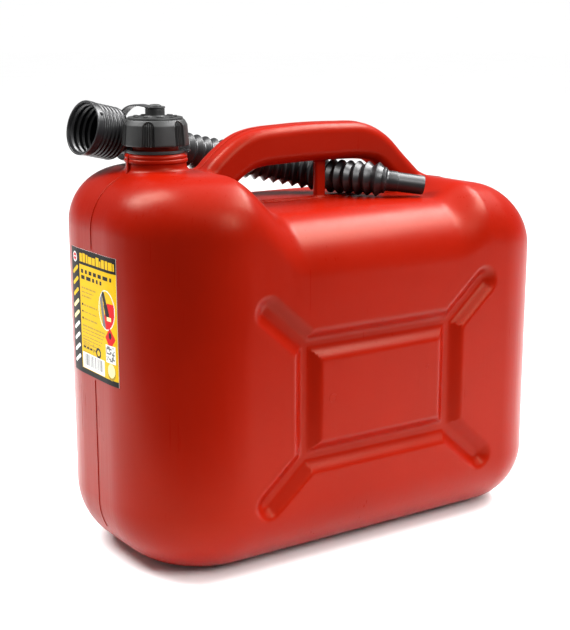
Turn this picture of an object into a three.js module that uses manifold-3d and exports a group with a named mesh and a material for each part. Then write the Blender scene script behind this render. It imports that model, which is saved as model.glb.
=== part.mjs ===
// A 20 litre blow-moulded fuel can with a tethered screw cap and a corrugated pouring spout,
// which is stowed along the handle and through the handle's rear window.
// Millimetres, +Z up. The origin is under the middle of the can: +X points to the rear, away from the neck.
import * as THREE from "three";
import { mergeVertices } from "three/addons/utils/BufferGeometryUtils.js";
import { ParametricGeometry } from "three/addons/geometries/ParametricGeometry.js";
import Module from "manifold-3d";

const wasm = await Module();
wasm.setup();

// ---------------------------------------------------------------- driving dimensions
const GAP = 0.3; // clearance between pieces that touch
const WALL = 2.6; // wall of the blow-moulded can

const body = {
  length: 405,
  width: 211,
  frontCorner: 84, // radii of the upright corners
  rearCorner: 58,
  bottomEdge: 56,
  topEdgeFront: 45,
  topEdgeRear: 51,
  shoulder: 322, // height of the top round the neck
  deck: 288, // height of the hand recess under the handle
  hump: 300.5, // height of the top behind the handle
  rearSlope: 0.15, // fall of the top from the hump to the rear
  deckFront: [-119.5, -67], // the top falls from shoulder to deck between these X
  deckRear: [92, 127], // and rises from deck to hump between these
};

const channel = {
  centre: [8, 140], // X and Z of the stiffening pattern pressed into each side
  frame: [74.5, 47], // half extents of its rectangle, to the middle of the channel
  armTip: [111.5, 79], // half extents of the four arms' ends
  floorHalfWidth: 7,
  slope: 7, // how far each sloping wall runs sideways
  depth: 7,
};

const neck = {
  x: -142.8,
  boreR: 15.5,
  tubeR: 18.5,
  collarR: 24.3,
  collarTop: 335.8,
  rim: 359.5,
  footR: 27, // where the collar meets the shoulder
  footDepth: 12, // how far the neck's foot is sunk into the shoulder
  bead: { stand: 1, height: 5, edge: 1 }, // round the collar's top
  lug: { length: 4, width: 3.2, height: 12 }, // at the collar's front
};

const thread = {
  lead: 6,
  height: 1.6, // how far the ridge stands out
  rootWidth: 2.6,
  crestWidth: 1.2,
  turns: 1.75,
  start: 346.5, // height at which the neck's thread begins
};

const cap = {
  bottom: 343,
  skirtR: 26.9,
  insideR: 20.9,
  ceiling: 362.3,
  plateR: 22.2,
  plateTop: 364.3,
  bossR: 7.8,
  bossTop: 370.6,
  studR: 3.6,
  studHeight: 2,
  buttonR: 4.7,
  top: 374.2,
  scoops: 6,
  scoopTurn: 48.8, // degrees from +X to one of the finger scoops
  scoopR: 5,
  scoopDepth: 1.8,
};

const tether = {
  ringZ: [336.1, 338.6],
  ringR: [19.2, 23.6],
  eyeR: [4, 8.2],
  thickness: 1.5,
  width: 8,
};

// The middle line of the handle in the XZ plane: X, Z, half thickness.
const handleLine = [
  [-112, 286, 15],
  [-96, 304, 15],
  [-80.5, 319.5, 15],
  [-58, 332.6, 15.8],
  [-15, 336.5, 16.2],
  [30, 336.7, 16.2],
  [58, 335, 15.8],
  [77, 328.3, 13.5],
  [96, 312.2, 12.6],
  [117, 293.4, 12.6],
  [132, 280, 13],
];
const handleHalfWidth = 15;
const web = { x: [13, 23.2], z: [283, 327], halfWidth: 3 }; // between the handle's two windows

// The middle line of the stowed spout, from its threaded mouth to the nozzle's tip.
const spoutLine = [
  [-185, 45.5, 354.4],
  [-150, 50.5, 346.3],
  [-110, 57, 336.5],
  [-68, 59.7, 326.5],
  [-23, 54.7, 317],
  [14, 39.5, 309],
  [34, 18, 304.8],
  [47.5, -8, 303.7],
  [57.7, -24.5, 303.6],
  [67.1, -34.7, 302.2],
  [94.1, -50.1, 297.9],
];
const spout = {
  couplingLength: 34,
  couplingR: 21.6,
  couplingInsideR: 20.2,
  ridgePitch: 8.7,
  crestR: 15,
  rootR: 11.6,
  boreR: 10.2,
  nozzleR: 8.5,
  nozzleWall: 1,
  nozzleLength: 36,
  frontRidges: 4, // ridges that bend when the mouth is pushed aside
  rearRidges: 3, // ridges that bend when the nozzle is lifted
};

const label = { halfWidth: 38.7, bottom: 158.3, height: 102.8, thickness: 0.3 };

// ---------------------------------------------------------------- solids
// A closed three.js geometry as a solid, with its faces turned outwards.
function solid(geometry) {
  const bare = geometry.clone();
  for (const name of Object.keys(bare.attributes)) {
    if (name !== "position") bare.deleteAttribute(name);
  }
  const merged = mergeVertices(bare, 1e-3);
  const vertProperties = merged.attributes.position.array;
  const triVerts = new Uint32Array(merged.index.array);
  const build = () => new wasm.Manifold(new wasm.Mesh({ numProp: 3, vertProperties, triVerts }));
  const made = build();
  if (made.volume() > 0) return made;
  for (let i = 0; i < triVerts.length; i += 3) {
    [triVerts[i + 1], triVerts[i + 2]] = [triVerts[i + 2], triVerts[i + 1]];
  }
  return build();
}

function joined(solids) {
  return solids.reduce((whole, next) => whole.add(next));
}

function geometryOf(made) {
  const mesh = made.getMesh();
  const geometry = new THREE.BufferGeometry();
  geometry.setAttribute("position", new THREE.BufferAttribute(mesh.vertProperties, 3));
  geometry.setIndex(new THREE.BufferAttribute(mesh.triVerts, 1));
  geometry.computeVertexNormals();
  return geometry;
}

// A closed profile of [radius, height] points, turned about the neck's axis.
function turned(profile, segments) {
  const points = profile.map(([radius, height]) => new THREE.Vector2(radius, height));
  const geometry = new THREE.LatheGeometry([...points, points[0]], segments);
  return solid(geometry.rotateX(Math.PI / 2).translate(neck.x, 0, 0));
}

// An outline in X and Z, extruded from y = from to y = to.
function extrudedAcross(shape, from, to, bevel = {}) {
  const thickness = bevel.thickness ?? 0;
  const geometry = new THREE.ExtrudeGeometry(shape, {
    depth: to - from - 2 * thickness,
    bevelEnabled: thickness > 0,
    bevelThickness: thickness,
    bevelSize: bevel.size ?? 0,
    bevelOffset: -(bevel.size ?? 0),
    bevelSegments: bevel.segments ?? 1,
    curveSegments: 6,
  });
  return solid(geometry.translate(0, 0, thickness).rotateX(Math.PI / 2).translate(0, to, 0));
}

// ---------------------------------------------------------------- can body
function eased(x, [from, to]) {
  return THREE.MathUtils.smoothstep(x, from, to);
}

function topHeight(x) {
  const fall = (body.deck - body.shoulder) * eased(x, body.deckFront);
  const rise = (body.hump - body.deck) * eased(x, body.deckRear);
  return body.shoulder + fall + rise - body.rearSlope * Math.max(0, x - body.deckRear[1]);
}

// Places round the near half of the plan outline, front to rear, each with its outward direction.
function planStations() {
  const halfLength = body.length / 2;
  const halfWidth = body.width / 2;
  const stations = [];
  const corner = (x, radius, fromAngle, steps) => {
    for (let i = 0; i <= steps; i++) {
      const angle = fromAngle + (i / steps) * (Math.PI / 2);
      const nx = Math.cos(angle);
      const ny = Math.sin(angle);
      stations.push({ x: x + radius * nx, y: radius - halfWidth + radius * ny, nx, ny });
    }
  };
  stations.push({ x: -halfLength, y: 0, nx: -1, ny: 0 });
  corner(-halfLength + body.frontCorner, body.frontCorner, Math.PI, 6);
  const alongSide = [-109, -98, -87, -76, -66, 10, 92, 104, 115, 127];
  for (const x of alongSide) stations.push({ x, y: -halfWidth, nx: 0, ny: -1 });
  corner(halfLength - body.rearCorner, body.rearCorner, 1.5 * Math.PI, 4);
  stations.push({ x: halfLength, y: 0, nx: 1, ny: 0 });
  return stations;
}

// The can's rounded block, inset by the given amount: rows run from the bottom's middle line, up round
// the bottom edge, over the side and round the top edge to the top's middle line.
function roundedBlock(inset) {
  const near = planStations();
  const far = near.slice(1, -1).reverse().map((s) => ({ ...s, y: -s.y, ny: -s.ny }));
  const ring = [...near, ...far, near[0]];
  const arcSteps = 4;
  const rows = 2 * arcSteps + 3;
  const place = (u, v, target) => {
    const s = ring[Math.round(u * (ring.length - 1))];
    const row = Math.round(v * rows) - 1;
    const atTop = row > arcSteps;
    const step = THREE.MathUtils.clamp(atTop ? row - arcSteps - 1 : row, 0, arcSteps);
    const angle = (step / arcSteps) * (Math.PI / 2);
    const share = (s.x + body.length / 2) / body.length;
    const topEdge = THREE.MathUtils.lerp(body.topEdgeFront, body.topEdgeRear, share);
    const radius = (atTop ? topEdge : body.bottomEdge) - inset;
    const inwards = inset + radius * (1 - (atTop ? Math.cos(angle) : Math.sin(angle)));
    const x = s.x - s.nx * inwards;
    const middle = row < 0 || row > 2 * arcSteps + 1;
    const y = middle ? 0 : s.y - s.ny * inwards;
    const bottom = inset + radius * (1 - Math.cos(angle));
    const top = topHeight(x) - inset - radius * (1 - Math.sin(angle));
    target.set(x, y, atTop ? top : bottom);
  };
  return solid(new ParametricGeometry(place, ring.length - 1, rows));
}

// A bar with round ends between two points of the side face, sunk into the face that faces side (-1 or 1).
function channelBar([x0, z0], [x1, z1], side, extra) {
  const halfWidth = channel.floorHalfWidth + channel.slope + extra;
  const angle = Math.atan2(z1 - z0, x1 - x0);
  const shape = new THREE.Shape();
  shape.absarc(x1, z1, halfWidth, angle - Math.PI / 2, angle + Math.PI / 2, false);
  shape.absarc(x0, z0, halfWidth, angle + Math.PI / 2, angle + 1.5 * Math.PI, false);
  const floor = body.width / 2 - channel.depth - extra;
  const outside = body.width / 2 + channel.depth;
  const [from, to] = side < 0 ? [-outside, -floor] : [floor, outside];
  return extrudedAcross(shape, from, to, { thickness: channel.depth, size: channel.slope });
}

function channels(side, extra) {
  const [cx, cz] = channel.centre;
  const at = (i, j, [halfX, halfZ]) => [cx + i * halfX, cz + j * halfZ];
  const bars = [];
  const corners = [[-1, -1], [1, -1], [1, 1], [-1, 1]];
  corners.forEach(([i, j], n) => {
    const [nextI, nextJ] = corners[(n + 1) % 4];
    bars.push([at(i, j, channel.frame), at(nextI, nextJ, channel.frame)]);
    bars.push([at(i, j, channel.frame), at(i, j, channel.armTip)]);
  });
  return joined(bars.map(([from, to]) => channelBar(from, to, side, extra)));
}

// The handle's side outline, inset all round for its hollow.
function handleShape(inset) {
  const middle = new THREE.CatmullRomCurve3(handleLine.map(([x, z]) => new THREE.Vector3(x, z, 0)));
  const steps = 20;
  const upper = [];
  const lower = [];
  for (let i = 0; i <= steps; i++) {
    const t = i / steps;
    const index = Math.min(Math.floor(t * (handleLine.length - 1)), handleLine.length - 2);
    const within = t * (handleLine.length - 1) - index;
    const half = THREE.MathUtils.lerp(handleLine[index][2], handleLine[index + 1][2], within) - inset;
    const point = middle.getPoint(t);
    const along = middle.getTangent(t);
    upper.push(new THREE.Vector2(point.x - along.y * half, point.y + along.x * half));
    lower.push(new THREE.Vector2(point.x + along.y * half, point.y - along.x * half));
  }
  return new THREE.Shape([...lower, ...upper.reverse()]);
}

function handleBar(inset) {
  const half = handleHalfWidth - inset;
  return extrudedAcross(handleShape(inset), -half, half, { thickness: 9.5, size: 7, segments: 3 });
}

// A screw ridge about the neck's axis, on the wall of the given radius.
// outwards is 1 for a ridge on the neck and -1 for one inside the cap.
function screwRidge(wallR, outwards, start, turns) {
  const perTurn = 16;
  const half = [thread.rootWidth / 2, thread.crestWidth / 2];
  const section = [
    [-0.4, -half[0]],
    [-0.4, half[0]],
    [0, half[0]],
    [thread.height, half[1]],
    [thread.height, -half[1]],
    [0, -half[0]],
  ];
  const stepCount = Math.round(turns * perTurn);
  // The first and last rows shrink to the section's middle, which closes the ridge's two ends.
  const place = (u, v, target) => {
    const [out, up] = section[Math.round(u * section.length) % section.length];
    const row = Math.round(v * (stepCount + 2)) - 1;
    const step = THREE.MathUtils.clamp(row, 0, stepCount);
    const closed = row !== step;
    const angle = (step / perTurn) * 2 * Math.PI;
    const radius = wallR + outwards * (closed ? 0.2 : out);
    const height = start + (thread.lead * step) / perTurn + (closed ? 0 : up);
    target.set(neck.x + radius * Math.cos(angle), radius * Math.sin(angle), height);
  };
  return solid(new ParametricGeometry(place, section.length, stepCount + 2));
}

// The band of the plan outline between two insets, for the label and its recess.
function frontSheet(outerInset, innerInset, halfWidth, bottom, height) {
  const centreX = -body.length / 2 + body.frontCorner;
  const centreY = body.width / 2 - body.frontCorner;
  const shape = new THREE.Shape();
  const outerR = body.frontCorner - outerInset;
  const innerR = body.frontCorner - innerInset;
  const turn = Math.asin((halfWidth - centreY) / body.frontCorner);
  shape.absarc(centreX, centreY, outerR, Math.PI - turn, Math.PI, false);
  shape.absarc(centreX, -centreY, outerR, Math.PI, Math.PI + turn, false);
  shape.absarc(centreX, -centreY, innerR, Math.PI + turn, Math.PI, true);
  shape.absarc(centreX, centreY, innerR, Math.PI, Math.PI - turn, true);
  const geometry = new THREE.ExtrudeGeometry(shape, { depth: height, bevelEnabled: false, curveSegments: 3 });
  return solid(geometry.translate(0, 0, bottom));
}

function makeCanShell() {
  const n = neck;
  const { bead, lug } = neck;
  const foot = body.shoulder - n.footDepth;
  const hollowFoot = foot - 8;
  const neckOutside = turned([
    [0, foot],
    [n.footR, foot],
    [n.footR, body.shoulder + 0.5],
    [n.collarR, body.shoulder + 2.5],
    [n.collarR, n.collarTop - bead.height],
    [n.collarR + bead.stand, n.collarTop - bead.height + bead.edge],
    [n.collarR + bead.stand, n.collarTop - bead.edge],
    [n.collarR, n.collarTop],
    [n.tubeR, n.collarTop],
    [n.tubeR, n.rim],
    [0, n.rim],
  ], 28);
  const neckInside = turned([
    [0, hollowFoot],
    [n.collarR - WALL, hollowFoot],
    [n.collarR - WALL, n.collarTop - WALL],
    [n.boreR, n.collarTop - WALL + 1],
    [n.boreR, n.rim + 5],
    [0, n.rim + 5],
  ], 28);
  const lugBox = new THREE.BoxGeometry(lug.length, lug.width, lug.height);
  const lugSolid = solid(lugBox.translate(n.x - n.collarR - 0.6, 0, body.shoulder + lug.height / 2));
  const webBox = new THREE.BoxGeometry(web.x[1] - web.x[0], 2 * web.halfWidth, web.z[1] - web.z[0]);
  const webSolid = solid(webBox.translate((web.x[0] + web.x[1]) / 2, 0, (web.z[0] + web.z[1]) / 2));
  const ridge = screwRidge(n.tubeR, 1, thread.start, thread.turns);

  const outside = joined([roundedBlock(0), neckOutside, lugSolid, handleBar(0), ridge]);
  const ribs = joined([channels(-1, 0), channels(1, 0)]);
  const ribBacks = joined([channels(-1, WALL), channels(1, WALL)]);
  const inside = roundedBlock(WALL).subtract(ribBacks).add(handleBar(WALL)).add(neckInside);
  const recessEdge = GAP + label.thickness;
  const recess = frontSheet(
    -2,
    recessEdge,
    label.halfWidth + recessEdge,
    label.bottom - recessEdge,
    label.height + 2 * recessEdge,
  );
  return outside.subtract(ribs).subtract(recess).subtract(inside).add(webSolid);
}

// ---------------------------------------------------------------- cap and seal
function makeFillerCap() {
  const c = cap;
  const shell = turned([
    [0, c.ceiling],
    [c.insideR, c.ceiling],
    [c.insideR, c.bottom],
    [c.skirtR, c.bottom],
    [c.skirtR - 0.8, c.ceiling - 6],
    [c.skirtR - 2, c.ceiling - 2.5],
    [c.plateR + 0.4, c.plateTop - 1.9],
    [c.plateR - 0.5, c.plateTop - 1.9],
    [c.plateR, c.plateTop - 1.2],
    [c.plateR - 0.4, c.plateTop],
    [c.bossR, c.plateTop],
    [c.bossR, c.bossTop],
    [c.studR, c.bossTop],
    [c.studR, c.bossTop + c.studHeight],
    [c.buttonR, c.bossTop + c.studHeight],
    [c.buttonR - 0.8, c.top - 0.8],
    [2, c.top],
    [0, c.top],
  ], 36);
  const scoops = [];
  for (let i = 0; i < c.scoops; i++) {
    const angle = THREE.MathUtils.degToRad(c.scoopTurn) + (i / c.scoops) * 2 * Math.PI;
    const distance = c.skirtR - c.scoopDepth + c.scoopR;
    const scoop = new THREE.CylinderGeometry(c.scoopR, c.scoopR, 30, 10).rotateX(Math.PI / 2);
    scoop.translate(neck.x + distance * Math.cos(angle), distance * Math.sin(angle), c.bottom + 1);
    scoops.push(solid(scoop));
  }
  const ridge = screwRidge(c.insideR, -1, thread.start - thread.lead / 2, thread.turns);
  return shell.subtract(joined(scoops)).add(ridge);
}

function makeCapGasket() {
  const radius = cap.insideR - 1;
  return turned([
    [0, neck.rim + GAP],
    [radius, neck.rim + GAP],
    [radius, cap.ceiling - GAP],
    [0, cap.ceiling - GAP],
  ], 28);
}

// ---------------------------------------------------------------- tether
function flatRing([innerR, outerR], [bottom, top], segments) {
  return turned([
    [innerR, bottom],
    [outerR, bottom],
    [outerR, top],
    [innerR, top],
  ], segments);
}

// The band leaves the ring, lies under the spout behind its coupling, and comes back over it to the cap.
function makeTetherBand() {
  const middleX = neck.x + 1.3;
  const ringMiddle = (tether.ringZ[0] + tether.ringZ[1]) / 2;
  const eyeMiddle = cap.bossTop + GAP + tether.thickness / 2;
  const route = [
    [tether.ringR[1] + GAP, ringMiddle],
    [33, 333.5],
    [44, 327.5],
    [57, 325.5],
    [68.5, 331],
    [73, 341],
    [71, 352],
    [63, 359],
    [53, 365.8],
    [44, 369.6],
    [28, eyeMiddle + 0.2],
    [16, eyeMiddle],
    [tether.eyeR[1] + GAP, eyeMiddle],
  ];
  const middle = new THREE.CatmullRomCurve3(route.map(([y, z]) => new THREE.Vector3(y, z, 0)));
  const steps = 26;
  const sides = [1, -1].map((side) => {
    const points = [];
    for (let i = 0; i <= steps; i++) {
      const point = middle.getPointAt(i / steps);
      const along = middle.getTangentAt(i / steps);
      const out = (side * tether.thickness) / 2;
      points.push(new THREE.Vector2(point.x - along.y * out, point.y + along.x * out));
    }
    return points;
  });
  const shape = new THREE.Shape([...sides[0], ...sides[1].reverse()]);
  const geometry = new THREE.ExtrudeGeometry(shape, { depth: tether.width, bevelEnabled: false });
  // The shape's own axes are Y and Z of the can, and it is extruded along X.
  const turn = new THREE.Matrix4().set(0, 0, 1, 0, 1, 0, 0, 0, 0, 1, 0, 0, 0, 0, 0, 1);
  return solid(geometry.applyMatrix4(turn).translate(middleX - tether.width / 2, 0, 0));
}

// ---------------------------------------------------------------- spout
const spoutCurve = new THREE.CatmullRomCurve3(spoutLine.map((p) => new THREE.Vector3(...p)));
spoutCurve.arcLengthDivisions = 800;
const spoutLength = spoutCurve.getLength();
const nozzleStart = spoutLength - spout.nozzleLength;
const frontFlexEnd = spout.couplingLength + spout.frontRidges * spout.ridgePitch;
const rearFlexStart = nozzleStart - spout.rearRidges * spout.ridgePitch;

// A closed profile of [distance along the spout, radius] points, swept round the spout's middle line.
function sweptAlongSpout(profile, segments) {
  const up = new THREE.Vector3(0, 0, 1);
  const place = (u, v, target) => {
    const [along, radius] = profile[Math.round(v * profile.length) % profile.length];
    const t = THREE.MathUtils.clamp(along / spoutLength, 0, 1);
    const angle = (Math.round(u * segments) / segments) * 2 * Math.PI;
    const forward = spoutCurve.getTangentAt(t);
    const side = new THREE.Vector3().crossVectors(forward, up).normalize();
    const above = new THREE.Vector3().crossVectors(side, forward);
    target.copy(spoutCurve.getPointAt(t));
    target.addScaledVector(side, radius * Math.cos(angle));
    target.addScaledVector(above, radius * Math.sin(angle));
  };
  return solid(new ParametricGeometry(place, segments, profile.length));
}

function makeCoupling() {
  const { couplingLength: length, couplingR: radius, couplingInsideR: insideR } = spout;
  const outside = [[0, insideR], [0, radius]];
  const inside = [];
  for (let along = 5; along < length - 6; along += 5.5) {
    outside.push([along - 1.5, radius], [along, radius - 0.7], [along + 1.5, radius]);
    inside.unshift([along + 1.2, insideR], [along, insideR - 0.8], [along - 1.2, insideR]);
  }
  const back = [[length - 3.5, radius], [length, spout.crestR], [length, spout.boreR]];
  const seat = [[length - 3, spout.boreR], [length - 3, insideR]];
  return sweptAlongSpout([...outside, ...back, ...seat, ...inside], 20);
}

function makeSpoutGasket() {
  const back = spout.couplingLength - 3 - GAP;
  const [innerR, outerR] = [13.5, spout.couplingInsideR - GAP];
  return sweptAlongSpout([[back - 1.8, innerR], [back - 1.8, outerR], [back, outerR], [back, innerR]], 20);
}

function makeBellows(from, to) {
  const ridges = Math.round((to - from) / spout.ridgePitch);
  const pitch = (to - from) / ridges;
  const outside = [[from, spout.rootR]];
  const inside = [[from, spout.boreR]];
  for (let i = 0; i < ridges; i++) {
    outside.push([from + (i + 0.5) * pitch, spout.crestR], [from + (i + 1) * pitch, spout.rootR]);
    inside.unshift([from + (i + 1) * pitch, spout.boreR]);
  }
  return sweptAlongSpout([...outside, ...inside], 14);
}

function makeNozzle() {
  const tip = spoutLength;
  const start = nozzleStart + GAP;
  const boreR = spout.nozzleR - spout.nozzleWall;
  return sweptAlongSpout([
    [start, boreR],
    [start, spout.rootR],
    [start + 2, spout.rootR + 1.2],
    [start + 4, spout.rootR - 1],
    [start + 6, spout.nozzleR],
    [start + 20, spout.nozzleR],
    [tip, spout.nozzleR],
    [tip, boreR],
    [start + 20, boreR],
  ], 16);
}

// ---------------------------------------------------------------- assembly
const colours = { can: 0xb81407, black: 0x151617, seal: 0x2a2a2c, label: 0xf0c818 };
const roughness = { can: 0.42, black: 0.38, seal: 0.8, label: 0.45 };
const fuelCan = new THREE.Group();

function addPiece(name, finish, made) {
  const material = new THREE.MeshStandardMaterial({
    color: colours[finish],
    roughness: roughness[finish],
    metalness: 0,
  });
  const mesh = new THREE.Mesh(geometryOf(made), material);
  mesh.name = name;
  fuelCan.add(mesh);
}

const eyeBottom = cap.bossTop + GAP;
const labelSheet = frontSheet(0, label.thickness, label.halfWidth, label.bottom, label.height);

addPiece("can_shell", "can", makeCanShell());
addPiece("front_label", "label", labelSheet);
addPiece("filler_cap", "black", makeFillerCap());
addPiece("cap_gasket", "seal", makeCapGasket());
addPiece("tether_neck_ring", "black", flatRing(tether.ringR, tether.ringZ, 28));
addPiece("tether_band", "black", makeTetherBand());
addPiece("tether_cap_eye", "black", flatRing(tether.eyeR, [eyeBottom, eyeBottom + tether.thickness], 24));
addPiece("spout_coupling", "black", makeCoupling());
addPiece("spout_gasket", "seal", makeSpoutGasket());
addPiece("spout_bellows_front", "black", makeBellows(spout.couplingLength + GAP, frontFlexEnd));
addPiece("spout_bellows_middle", "black", makeBellows(frontFlexEnd + GAP, rearFlexStart));
addPiece("spout_bellows_rear", "black", makeBellows(rearFlexStart + GAP, nozzleStart));
addPiece("spout_nozzle", "black", makeNozzle());

export default fuelCan;
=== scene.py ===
"""A 20 litre blow-moulded fuel can with a tethered screw cap and a corrugated spout stowed on its handle.

Shapes are worked out in millimetres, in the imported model's frame, and each mesh is made in metres.
"""

import math

import bmesh
import bpy
import numpy as np
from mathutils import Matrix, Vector


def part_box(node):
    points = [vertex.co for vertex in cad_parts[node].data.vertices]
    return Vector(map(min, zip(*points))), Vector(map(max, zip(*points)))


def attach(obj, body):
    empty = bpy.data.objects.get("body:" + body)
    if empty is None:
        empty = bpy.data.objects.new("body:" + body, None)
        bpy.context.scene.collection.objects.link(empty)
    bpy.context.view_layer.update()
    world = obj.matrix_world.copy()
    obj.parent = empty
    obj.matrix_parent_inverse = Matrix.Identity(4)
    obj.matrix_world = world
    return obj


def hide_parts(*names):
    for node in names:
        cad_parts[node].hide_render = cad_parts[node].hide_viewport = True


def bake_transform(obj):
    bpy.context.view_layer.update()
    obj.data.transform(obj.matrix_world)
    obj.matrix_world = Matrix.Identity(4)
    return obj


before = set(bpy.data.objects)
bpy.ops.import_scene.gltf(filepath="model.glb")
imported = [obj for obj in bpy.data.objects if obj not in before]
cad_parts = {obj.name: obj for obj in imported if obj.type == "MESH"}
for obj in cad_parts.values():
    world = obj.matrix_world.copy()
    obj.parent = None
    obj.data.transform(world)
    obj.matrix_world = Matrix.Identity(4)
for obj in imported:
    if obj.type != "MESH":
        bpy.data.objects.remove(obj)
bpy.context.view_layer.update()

MM = 0.001


# ---------------- sizes
def box_mm(node):
    low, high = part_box(node)
    return np.array(low) / MM, np.array(high) / MM


shell_low, shell_high = box_mm("can_shell")
ring_low, ring_high = box_mm("tether_neck_ring")
cap_low, cap_high = box_mm("filler_cap")
eye_low, eye_high = box_mm("tether_cap_eye")
label_low, label_high = box_mm("front_label")

HALF_LENGTH = (shell_high[0] - shell_low[0]) / 2
HALF_WIDTH = (shell_high[1] - shell_low[1]) / 2
FRONT_CORNER = 84
REAR_CORNER = 58
BOTTOM_EDGE = 56
TOP_EDGE = (45, 51)  # at the front and the rear
SHOULDER = 322
DECK = 288
HUMP = 300.5
REAR_SLOPE = 0.15
DECK_FRONT = (-119.5, -67)
DECK_REAR = (92, 127)

CHANNEL_CENTRE = (8, 140)
CHANNEL_FRAME = (74.5, 47)
CHANNEL_ARM = (111.5, 79)
CHANNEL_FLOOR = 2
CHANNEL_HALF = 14.5
CHANNEL_DEPTH = 7

NECK_X = (ring_low[0] + ring_high[0]) / 2
NECK_BORE = 15.5
NECK_TUBE = 18.5
NECK_RIM = 359.5
COLLAR = 24.3
COLLAR_TOP = 335.8
THREAD_LEAD = 6
THREAD_TURNS = 1.75
NECK_THREAD_START = 346.5

HANDLE_LINE = [
    (-112, 286, 15),
    (-96, 304, 15),
    (-80.5, 319.5, 15),
    (-58, 332.6, 15.8),
    (-15, 336.5, 16.2),
    (30, 336.7, 16.2),
    (58, 335, 15.8),
    (77, 328.3, 13.5),
    (96, 312.2, 12.6),
    (117, 293.4, 12.6),
    (132, 280, 13),
]
HANDLE_HALF_WIDTH = 15
HANDLE_ROUND = 9
WEB_X = (13, 23.2)
WEB_HALF_WIDTH = 3

SPOUT_LINE = [
    (-185, 45.5, 354.4),
    (-150, 50.5, 346.3),
    (-110, 57, 336.5),
    (-68, 59.7, 326.5),
    (-23, 54.7, 317),
    (14, 39.5, 309),
    (34, 18, 304.8),
    (47.5, -8, 303.7),
    (57.7, -24.5, 303.6),
    (67.1, -34.7, 302.2),
    (94.1, -50.1, 297.9),
]
COUPLING_LENGTH = 34
COUPLING_R = 21.6
COUPLING_INSIDE_R = 20.2
RIDGE_PITCH = 8.7
RIDGE_R = 15
VALLEY_R = 11.6
SPOUT_BORE = 10.2
NOZZLE_R = 8.5
NOZZLE_LENGTH = 36
FRONT_RIDGES = 4
REAR_RIDGES = 3

UP = np.array([0.0, 0.0, 1.0])


# ---------------- mesh tools
def new_piece(name, parts, body, materials, crease=32, tidy=True):
    """A piece from parts, each a pair of points in millimetres and faces, riding on a CAD body."""
    points, faces, start = [], [], 0
    for part_points, part_faces in parts:
        points.append(np.asarray(part_points, float).reshape(-1, 3))
        faces.extend([[start + corner for corner in face] for face in part_faces])
        start += len(points[-1])
    mesh = bpy.data.meshes.new(name)
    mesh.from_pydata((np.concatenate(points) * MM).tolist(), [], faces)
    if tidy:
        work = bmesh.new()
        work.from_mesh(mesh)
        bmesh.ops.remove_doubles(work, verts=work.verts, dist=0.002 * MM)
        bmesh.ops.recalc_face_normals(work, faces=work.faces)
        work.to_mesh(mesh)
        work.free()
    mesh.polygons.foreach_set("use_smooth", [True] * len(mesh.polygons))
    if crease:
        mesh.set_sharp_from_angle(angle=math.radians(crease))
    for material in materials if isinstance(materials, list) else [materials]:
        mesh.materials.append(material)
    piece = bpy.data.objects.new(name, mesh)
    bpy.context.scene.collection.objects.link(piece)
    if body:
        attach(piece, body)
    return piece


def grid_faces(rows, columns, wrap_rows=False, wrap_columns=True):
    r = np.arange(rows if wrap_rows else rows - 1)
    c = np.arange(columns if wrap_columns else columns - 1)
    r, c = (a.ravel() for a in np.meshgrid(r, c, indexing="ij"))
    next_r, next_c = (r + 1) % rows, (c + 1) % columns
    corners = [r * columns + c, r * columns + next_c, next_r * columns + next_c, next_r * columns + c]
    return np.stack(corners, axis=1)


def capped_faces(rows, columns):
    """The faces of a tube of rows, closed at both ends."""
    last = (rows - 1) * columns
    ends = [list(range(columns))[::-1], list(range(last, last + columns))]
    return grid_faces(rows, columns).tolist() + ends


def softened(profile, radius, steps=3):
    """A closed outline with each corner cut back by up to radius and rounded."""
    corners = np.asarray(profile, float)
    made = []
    for i, corner in enumerate(corners):
        ends = []
        for other in (corners[i - 1], corners[(i + 1) % len(corners)]):
            way = other - corner
            length = np.linalg.norm(way)
            ends.append(corner + way * min(radius, 0.45 * length) / length)
        for t in np.linspace(0, 1, steps + 1):
            made.append((1 - t) ** 2 * ends[0] + 2 * t * (1 - t) * corner + t**2 * ends[1])
    return np.array(made)


def densified(profile, step):
    """A closed outline with points added, so that none are further apart than step."""
    made = []
    for i, start in enumerate(profile):
        end = profile[(i + 1) % len(profile)]
        count = max(1, math.ceil(np.linalg.norm(end - start) / step))
        made.extend(start + (end - start) * k / count for k in range(count))
    return np.array(made)


def turned(profile, segments=96, centre_x=NECK_X, shape=None):
    """A closed outline of (radius, height) turned about an upright axis.
    shape(radius, height, angle) gives a changed radius."""
    profile = np.asarray(profile, float)
    angle = np.linspace(0, 2 * np.pi, segments, endpoint=False)[None, :]
    radius, height = profile[:, :1] + 0 * angle, profile[:, 1:] + 0 * angle
    if shape:
        radius = shape(radius, height, angle)
    points = np.stack([centre_x + radius * np.cos(angle), radius * np.sin(angle), height], axis=-1)
    return points.reshape(-1, 3), grid_faces(len(profile), segments, wrap_rows=True)


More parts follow.
